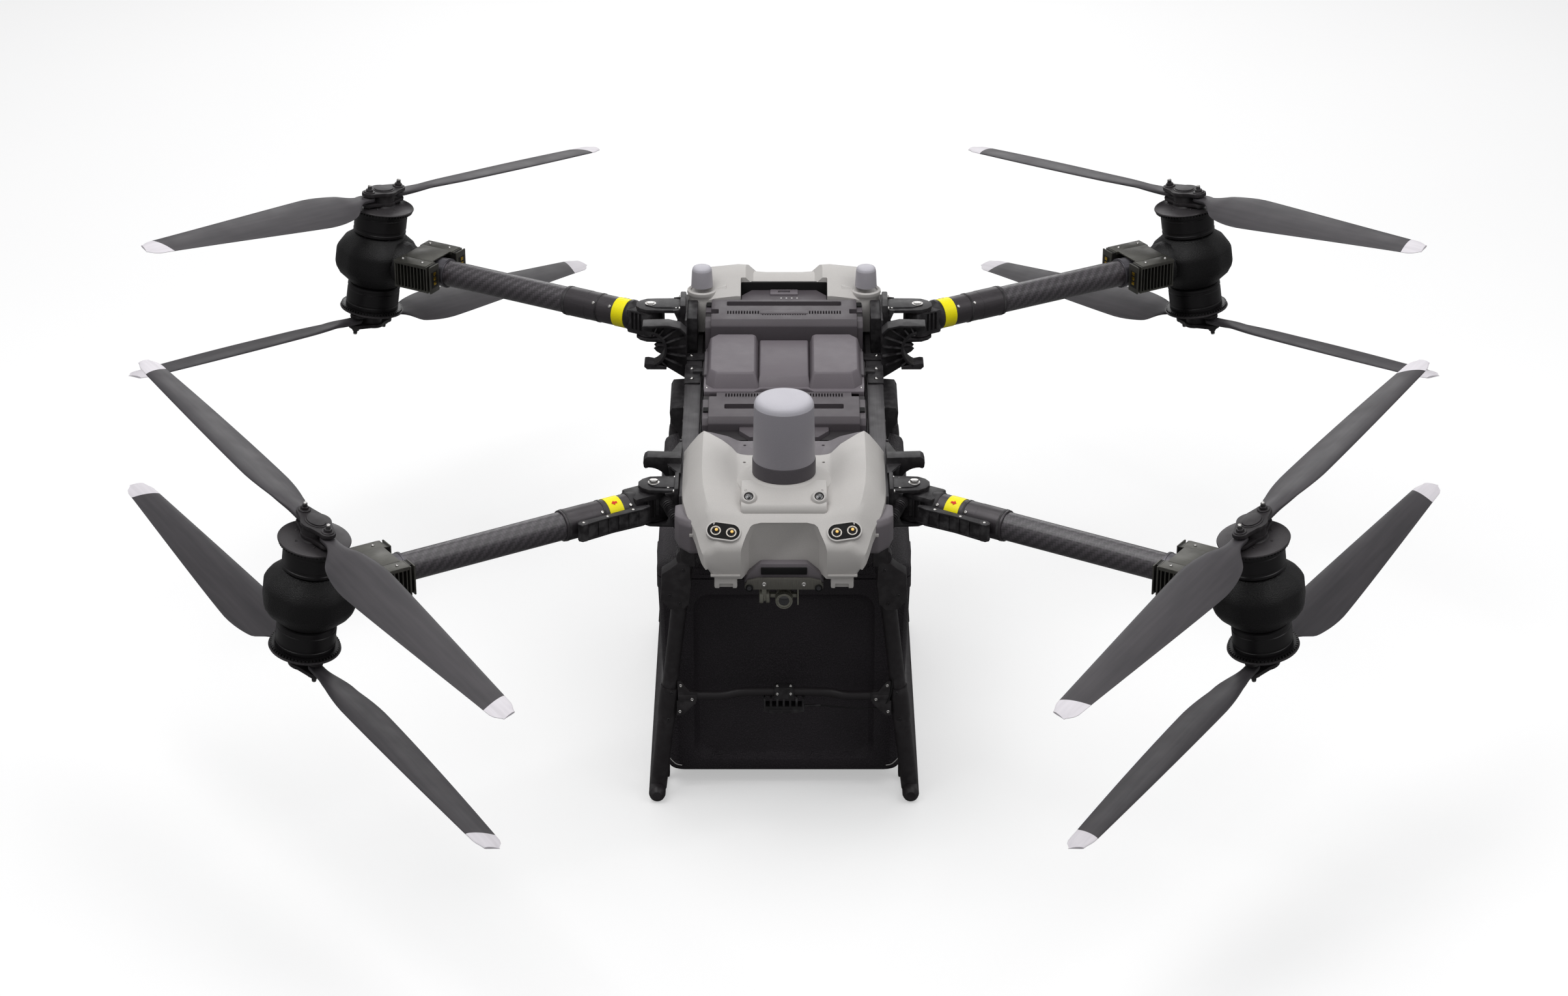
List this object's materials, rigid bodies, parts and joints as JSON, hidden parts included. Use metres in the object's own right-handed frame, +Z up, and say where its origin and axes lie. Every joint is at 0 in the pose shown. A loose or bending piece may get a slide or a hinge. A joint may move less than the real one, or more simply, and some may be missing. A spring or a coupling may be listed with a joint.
{
  "type": "cargo delivery drone",
  "caption": "Folding coaxial multirotor that lifts a box of cargo: folding arms with stacked two-blade rotors, lidded cargo case, batteries, parachute, gimbal camera and skid landing gear.",
  "frame": {"origin": "on the ground, midway between the skids and midway between the foremost and rearmost blade tips", "axes": "+Z up, nose towards -Y, +X to the right of a viewer who faces the nose; left and right in piece names are that viewer's"},
  "size_m": [2.6912, 2.5503, 0.93],
  "materials": {
    "black_plastic": "fine-grained moulded nylon",
    "anodised_black": "satin black anodised",
    "cowl_grey": "matte painted shell",
    "dome_grey": "smooth matte radome",
    "cover_grey": "matte moulded cover",
    "case_foam": "pebbled expanded foam",
    "camera_metal": "dark satin metal",
    "carbon": "woven carbon fibre under clear resin",
    "pod_casting": "pebbled black powder coat on cast metal",
    "heatsink": "hard anodised fins",
    "blade": "moulded fibre composite, pale tips"
  },
  "bodies": {
    "airframe": {"airframe": "black_plastic", "front_cowl": "cowl_grey", "radar_dome": "dome_grey", "rear_cowl": "cowl_grey", "antenna_left": "dome_grey", "antenna_right": "dome_grey", "parachute_pack": "cover_grey", "landing_gear_left": "black_plastic", "landing_gear_right": "black_plastic", "sensor_crossbar": "black_plastic", "gimbal_mount": "camera_metal", "cargo_case": "case_foam", "cargo_lid": "case_foam", "arm_root_front_left": "anodised_black", "arm_root_front_right": "anodised_black", "arm_root_rear_left": "anodised_black", "arm_root_rear_right": "anodised_black"},
    "battery_front": {"battery_front": "cover_grey"},
    "battery_rear": {"battery_rear": "cover_grey"},
    "gimbal_camera": {"gimbal_camera": "camera_metal"},
    "arm_front_left": {"arm_tube_front_left": "carbon", "motor_pod_front_left": "pod_casting", "esc_pair_front_left": "heatsink"},
    "lock_lever_front_left": {"lock_lever_front_left": "black_plastic"},
    "rotor_front_left_upper": {"rotor_front_left_upper": "anodised_black"},
    "blade_front_left_upper_1": {"blade_front_left_upper_1": "blade"},
    "blade_front_left_upper_2": {"blade_front_left_upper_2": "blade"},
    "rotor_front_left_lower": {"rotor_front_left_lower": "anodised_black"},
    "blade_front_left_lower_1": {"blade_front_left_lower_1": "blade"},
    "blade_front_left_lower_2": {"blade_front_left_lower_2": "blade"},
    "arm_front_right": {"arm_tube_front_right": "carbon", "motor_pod_front_right": "pod_casting", "esc_pair_front_right": "heatsink"},
    "lock_lever_front_right": {"lock_lever_front_right": "black_plastic"},
    "rotor_front_right_upper": {"rotor_front_right_upper": "anodised_black"},
    "blade_front_right_upper_1": {"blade_front_right_upper_1": "blade"},
    "blade_front_right_upper_2": {"blade_front_right_upper_2": "blade"},
    "rotor_front_right_lower": {"rotor_front_right_lower": "anodised_black"},
    "blade_front_right_lower_1": {"blade_front_right_lower_1": "blade"},
    "blade_front_right_lower_2": {"blade_front_right_lower_2": "blade"},
    "arm_rear_left": {"arm_tube_rear_left": "carbon", "motor_pod_rear_left": "pod_casting", "esc_pair_rear_left": "heatsink"},
    "lock_lever_rear_left": {"lock_lever_rear_left": "black_plastic"},
    "rotor_rear_left_upper": {"rotor_rear_left_upper": "anodised_black"},
    "blade_rear_left_upper_1": {"blade_rear_left_upper_1": "blade"},
    "blade_rear_left_upper_2": {"blade_rear_left_upper_2": "blade"},
    "rotor_rear_left_lower": {"rotor_rear_left_lower": "anodised_black"},
    "blade_rear_left_lower_1": {"blade_rear_left_lower_1": "blade"},
    "blade_rear_left_lower_2": {"blade_rear_left_lower_2": "blade"},
    "arm_rear_right": {"arm_tube_rear_right": "carbon", "motor_pod_rear_right": "pod_casting", "esc_pair_rear_right": "heatsink"},
    "lock_lever_rear_right": {"lock_lever_rear_right": "black_plastic"},
    "rotor_rear_right_upper": {"rotor_rear_right_upper": "anodised_black"},
    "blade_rear_right_upper_1": {"blade_rear_right_upper_1": "blade"},
    "blade_rear_right_upper_2": {"blade_rear_right_upper_2": "blade"},
    "rotor_rear_right_lower": {"rotor_rear_right_lower": "anodised_black"},
    "blade_rear_right_lower_1": {"blade_rear_right_lower_1": "blade"},
    "blade_rear_right_lower_2": {"blade_rear_right_lower_2": "blade"}
  },
  "joints": [
    {"name": "battery_front_lift", "type": "slide", "parent": "airframe", "child": "battery_front", "axis": [0, 0, 1], "range_m": [0, 0.25]},
    {"name": "battery_rear_lift", "type": "slide", "parent": "airframe", "child": "battery_rear", "axis": [0, 0, 1], "range_m": [0, 0.25]},
    {"name": "gimbal_tilt", "type": "hinge", "parent": "airframe", "child": "gimbal_camera", "pos_m": [0, -0.4632, 0.496], "axis": [1, 0, 0], "range_deg": [-30, 90]},
    {"name": "arm_fold_front_left", "type": "hinge", "parent": "airframe", "child": "arm_front_left", "pos_m": [-0.25, -0.3112, 0.62], "axis": [0, 0, -1], "range_deg": [0, 52]},
    {"name": "lock_lever_front_left_turn", "type": "hinge", "parent": "arm_front_left", "child": "lock_lever_front_left", "pos_m": [-0.37886, -0.44129, 0.61527], "axis": [0.0035, 0.0022, -1], "range_deg": [0, 70]},
    {"name": "rotor_spin_front_left_upper", "type": "hinge", "parent": "arm_front_left", "child": "rotor_front_left_upper", "pos_m": [-0.872, -0.6952, 0.617], "axis": [0.1334, -0.0741, 0.9883], "continuous": true},
    {"name": "blade_fold_front_left_upper_1", "type": "hinge", "parent": "rotor_front_left_upper", "child": "blade_front_left_upper_1", "pos_m": [-0.87794, -0.67048, 0.75929], "axis": [-0.1334, 0.0741, -0.9883], "range_deg": [0, 88.71]},
    {"name": "blade_fold_front_left_upper_2", "type": "hinge", "parent": "rotor_front_left_upper", "child": "blade_front_left_upper_2", "pos_m": [-0.82924, -0.74037, 0.74748], "axis": [0.1334, -0.0741, 0.9883], "range_deg": [0, 81.34]},
    {"name": "rotor_spin_front_left_lower", "type": "hinge", "parent": "arm_front_left", "child": "rotor_front_left_lower", "pos_m": [-0.872, -0.6952, 0.617], "axis": [0.1334, -0.0741, 0.9883], "continuous": true},
    {"name": "blade_fold_front_left_lower_1", "type": "hinge", "parent": "rotor_front_left_lower", "child": "blade_front_left_lower_1", "pos_m": [-0.91476, -0.65003, 0.48652], "axis": [-0.1334, 0.0741, -0.9883], "range_deg": [0, 88.71]},
    {"name": "blade_fold_front_left_lower_2", "type": "hinge", "parent": "rotor_front_left_lower", "child": "blade_front_left_lower_2", "pos_m": [-0.86606, -0.71992, 0.47471], "axis": [0.1334, -0.0741, 0.9883], "range_deg": [0, 81.34]},
    {"name": "arm_fold_front_right", "type": "hinge", "parent": "airframe", "child": "arm_front_right", "pos_m": [0.25, -0.3112, 0.62], "axis": [0, 0, 1], "range_deg": [0, 52]},
    {"name": "lock_lever_front_right_turn", "type": "hinge", "parent": "arm_front_right", "child": "lock_lever_front_right", "pos_m": [0.37886, -0.44129, 0.61527], "axis": [0.0035, -0.0022, 1], "range_deg": [0, 70]},
    {"name": "rotor_spin_front_right_upper", "type": "hinge", "parent": "arm_front_right", "child": "rotor_front_right_upper", "pos_m": [0.872, -0.6952, 0.617], "axis": [-0.1334, -0.0741, 0.9883], "continuous": true},
    {"name": "blade_fold_front_right_upper_1", "type": "hinge", "parent": "rotor_front_right_upper", "child": "blade_front_right_upper_1", "pos_m": [0.87794, -0.67048, 0.75929], "axis": [-0.1334, -0.0741, 0.9883], "range_deg": [0, 88.71]},
    {"name": "blade_fold_front_right_upper_2", "type": "hinge", "parent": "rotor_front_right_upper", "child": "blade_front_right_upper_2", "pos_m": [0.82924, -0.74037, 0.74748], "axis": [0.1334, 0.0741, -0.9883], "range_deg": [0, 81.34]},
    {"name": "rotor_spin_front_right_lower", "type": "hinge", "parent": "arm_front_right", "child": "rotor_front_right_lower", "pos_m": [0.872, -0.6952, 0.617], "axis": [-0.1334, -0.0741, 0.9883], "continuous": true},
    {"name": "blade_fold_front_right_lower_1", "type": "hinge", "parent": "rotor_front_right_lower", "child": "blade_front_right_lower_1", "pos_m": [0.91476, -0.65003, 0.48652], "axis": [-0.1334, -0.0741, 0.9883], "range_deg": [0, 88.71]},
    {"name": "blade_fold_front_right_lower_2", "type": "hinge", "parent": "rotor_front_right_lower", "child": "blade_front_right_lower_2", "pos_m": [0.86606, -0.71992, 0.47471], "axis": [0.1334, 0.0741, -0.9883], "range_deg": [0, 81.34]},
    {"name": "arm_fold_rear_left", "type": "hinge", "parent": "airframe", "child": "arm_rear_left", "pos_m": [-0.275, 0.3788, 0.71], "axis": [0, 0, 1], "range_deg": [0, 50]},
    {"name": "lock_lever_rear_left_turn", "type": "hinge", "parent": "arm_rear_left", "child": "lock_lever_rear_left", "pos_m": [-0.40615, 0.50656, 0.70472], "axis": [-0.0062, 0.0037, 1], "range_deg": [0, 70]},
    {"name": "rotor_spin_rear_left_upper", "type": "hinge", "parent": "arm_rear_left", "child": "rotor_rear_left_upper", "pos_m": [-0.872, 0.7328, 0.705], "axis": [0.1336, 0.0495, 0.9898], "continuous": true},
    {"name": "blade_fold_rear_left_upper_1", "type": "hinge", "parent": "rotor_rear_left_upper", "child": "blade_rear_left_upper_1", "pos_m": [-0.82614, 0.77232, 0.83625], "axis": [-0.1336, -0.0495, -0.9898], "range_deg": [0, 75.17]},
    {"name": "blade_fold_rear_left_upper_2", "type": "hinge", "parent": "rotor_rear_left_upper", "child": "blade_rear_left_upper_2", "pos_m": [-0.88099, 0.70694, 0.84693], "axis": [0.1336, 0.0495, 0.9898], "range_deg": [0, 94.88]},
    {"name": "rotor_spin_rear_left_lower", "type": "hinge", "parent": "arm_rear_left", "child": "rotor_rear_left_lower", "pos_m": [-0.872, 0.7328, 0.705], "axis": [0.1336, 0.0495, 0.9898], "continuous": true},
    {"name": "blade_fold_rear_left_lower_1", "type": "hinge", "parent": "rotor_rear_left_lower", "child": "blade_rear_left_lower_1", "pos_m": [-0.86301, 0.75866, 0.56307], "axis": [-0.1336, -0.0495, -0.9898], "range_deg": [0, 75.17]},
    {"name": "blade_fold_rear_left_lower_2", "type": "hinge", "parent": "rotor_rear_left_lower", "child": "blade_rear_left_lower_2", "pos_m": [-0.91786, 0.69328, 0.57374], "axis": [0.1336, 0.0495, 0.9898], "range_deg": [0, 94.88]},
    {"name": "arm_fold_rear_right", "type": "hinge", "parent": "airframe", "child": "arm_rear_right", "pos_m": [0.275, 0.3788, 0.71], "axis": [0, 0, -1], "range_deg": [0, 50]},
    {"name": "lock_lever_rear_right_turn", "type": "hinge", "parent": "arm_rear_right", "child": "lock_lever_rear_right", "pos_m": [0.40615, 0.50656, 0.70472], "axis": [-0.0062, -0.0037, -1], "range_deg": [0, 70]},
    {"name": "rotor_spin_rear_right_upper", "type": "hinge", "parent": "arm_rear_right", "child": "rotor_rear_right_upper", "pos_m": [0.872, 0.7328, 0.705], "axis": [-0.1336, 0.0495, 0.9898], "continuous": true},
    {"name": "blade_fold_rear_right_upper_1", "type": "hinge", "parent": "rotor_rear_right_upper", "child": "blade_rear_right_upper_1", "pos_m": [0.82614, 0.77232, 0.83625], "axis": [-0.1336, 0.0495, 0.9898], "range_deg": [0, 75.17]},
    {"name": "blade_fold_rear_right_upper_2", "type": "hinge", "parent": "rotor_rear_right_upper", "child": "blade_rear_right_upper_2", "pos_m": [0.88099, 0.70694, 0.84693], "axis": [0.1336, -0.0495, -0.9898], "range_deg": [0, 94.88]},
    {"name": "rotor_spin_rear_right_lower", "type": "hinge", "parent": "arm_rear_right", "child": "rotor_rear_right_lower", "pos_m": [0.872, 0.7328, 0.705], "axis": [-0.1336, 0.0495, 0.9898], "continuous": true},
    {"name": "blade_fold_rear_right_lower_1", "type": "hinge", "parent": "rotor_rear_right_lower", "child": "blade_rear_right_lower_1", "pos_m": [0.86301, 0.75866, 0.56307], "axis": [-0.1336, 0.0495, 0.9898], "range_deg": [0, 75.17]},
    {"name": "blade_fold_rear_right_lower_2", "type": "hinge", "parent": "rotor_rear_right_lower", "child": "blade_rear_right_lower_2", "pos_m": [0.91786, 0.69328, 0.57374], "axis": [0.1336, -0.0495, -0.9898], "range_deg": [0, 94.88]}
  ],
  "couplings": [
    {"joint": "blade_fold_front_left_upper_2", "follows": "blade_fold_front_left_upper_1", "ratio": 0.91636},
    {"joint": "blade_fold_front_left_lower_2", "follows": "blade_fold_front_left_lower_1", "ratio": 0.91636},
    {"joint": "blade_fold_front_right_upper_2", "follows": "blade_fold_front_right_upper_1", "ratio": 0.91636},
    {"joint": "blade_fold_front_right_lower_2", "follows": "blade_fold_front_right_lower_1", "ratio": 0.91636},
    {"joint": "blade_fold_rear_left_upper_2", "follows": "blade_fold_rear_left_upper_1", "ratio": 1.2617},
    {"joint": "blade_fold_rear_left_lower_2", "follows": "blade_fold_rear_left_lower_1", "ratio": 1.2617},
    {"joint": "blade_fold_rear_right_upper_2", "follows": "blade_fold_rear_right_upper_1", "ratio": 1.2617},
    {"joint": "blade_fold_rear_right_lower_2", "follows": "blade_fold_rear_right_lower_1", "ratio": 1.2617}
  ]
}
